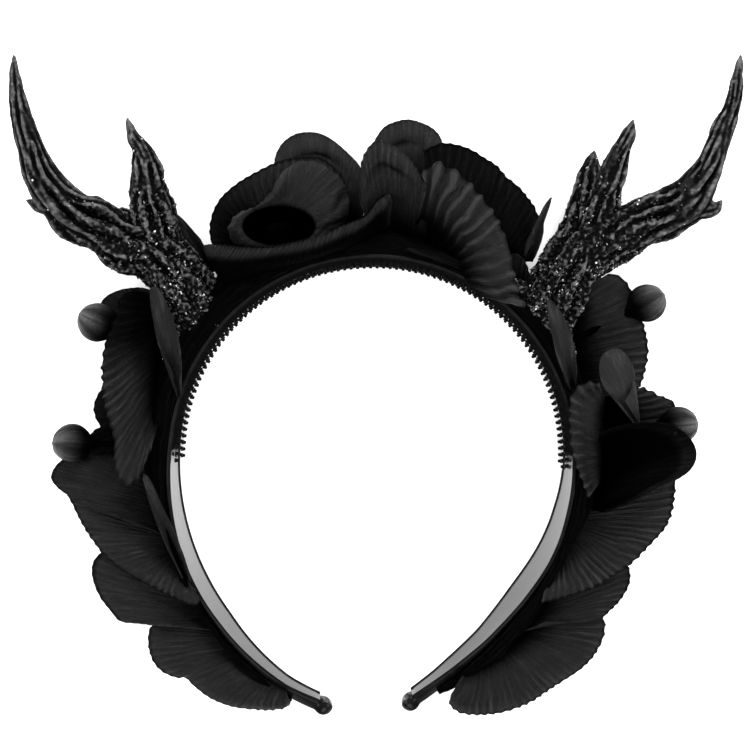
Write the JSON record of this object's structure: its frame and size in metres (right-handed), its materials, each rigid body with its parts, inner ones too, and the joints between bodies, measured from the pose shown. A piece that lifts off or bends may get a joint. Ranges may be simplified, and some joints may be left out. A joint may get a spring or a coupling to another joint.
{
  "type": "horns headband",
  "caption": "Moulded comb headband that carries branching antlers, crimped fabric petals, pointed leaves and round buds.",
  "frame": {"origin": "middle of the band's flat rear edge at the crown, in the plane that the band rests on when it lies on its back", "axes": "+X to the right arm and +Y from the ring's middle to the crown, both in the plane of the ring, and +Z from the rear edge to the front edge"},
  "size_m": [0.2578, 0.2371, 0.0529],
  "materials": {
    "plastic": "moulded black plastic, glossy",
    "resin": "black cast antlers with grooves, glitter grain and grey dry-brushed ridges",
    "fabric": "stiffened black satin cloth, heat-crimped into fine folds",
    "bud": "black cloth bud, worn lighter, with folded sepals"
  },
  "bodies": {
    "root": {"band": "plastic", "antler_left": "resin", "antler_right": "resin", "bud_left_1": "bud", "bud_left_2": "bud", "bud_right_1": "bud", "bud_right_2": "bud", "leaf_left_1": "fabric", "leaf_left_2": "fabric", "leaf_left_3": "fabric", "leaf_crown": "fabric", "leaf_right_1": "fabric", "leaf_right_2": "fabric", "leaf_right_3": "fabric", "petal_left_1": "fabric", "petal_left_2": "fabric", "petal_left_3": "fabric", "petal_left_4": "fabric", "petal_left_5": "fabric", "petal_left_6": "fabric", "petal_left_7": "fabric", "petal_crown_left_1": "fabric", "petal_crown_left_2": "fabric", "petal_crown_left_3": "fabric", "petal_crown_left_4": "fabric", "petal_crown_right_1": "fabric", "petal_crown_right_2": "fabric", "petal_crown_right_3": "fabric", "petal_crown_right_4": "fabric", "petal_crown_right_5": "fabric", "petal_right_1": "fabric", "petal_right_2": "fabric", "petal_right_3": "fabric", "petal_right_4": "fabric", "petal_right_5": "fabric", "petal_right_6": "fabric", "petal_right_7": "fabric"}
  },
  "joints": []
}
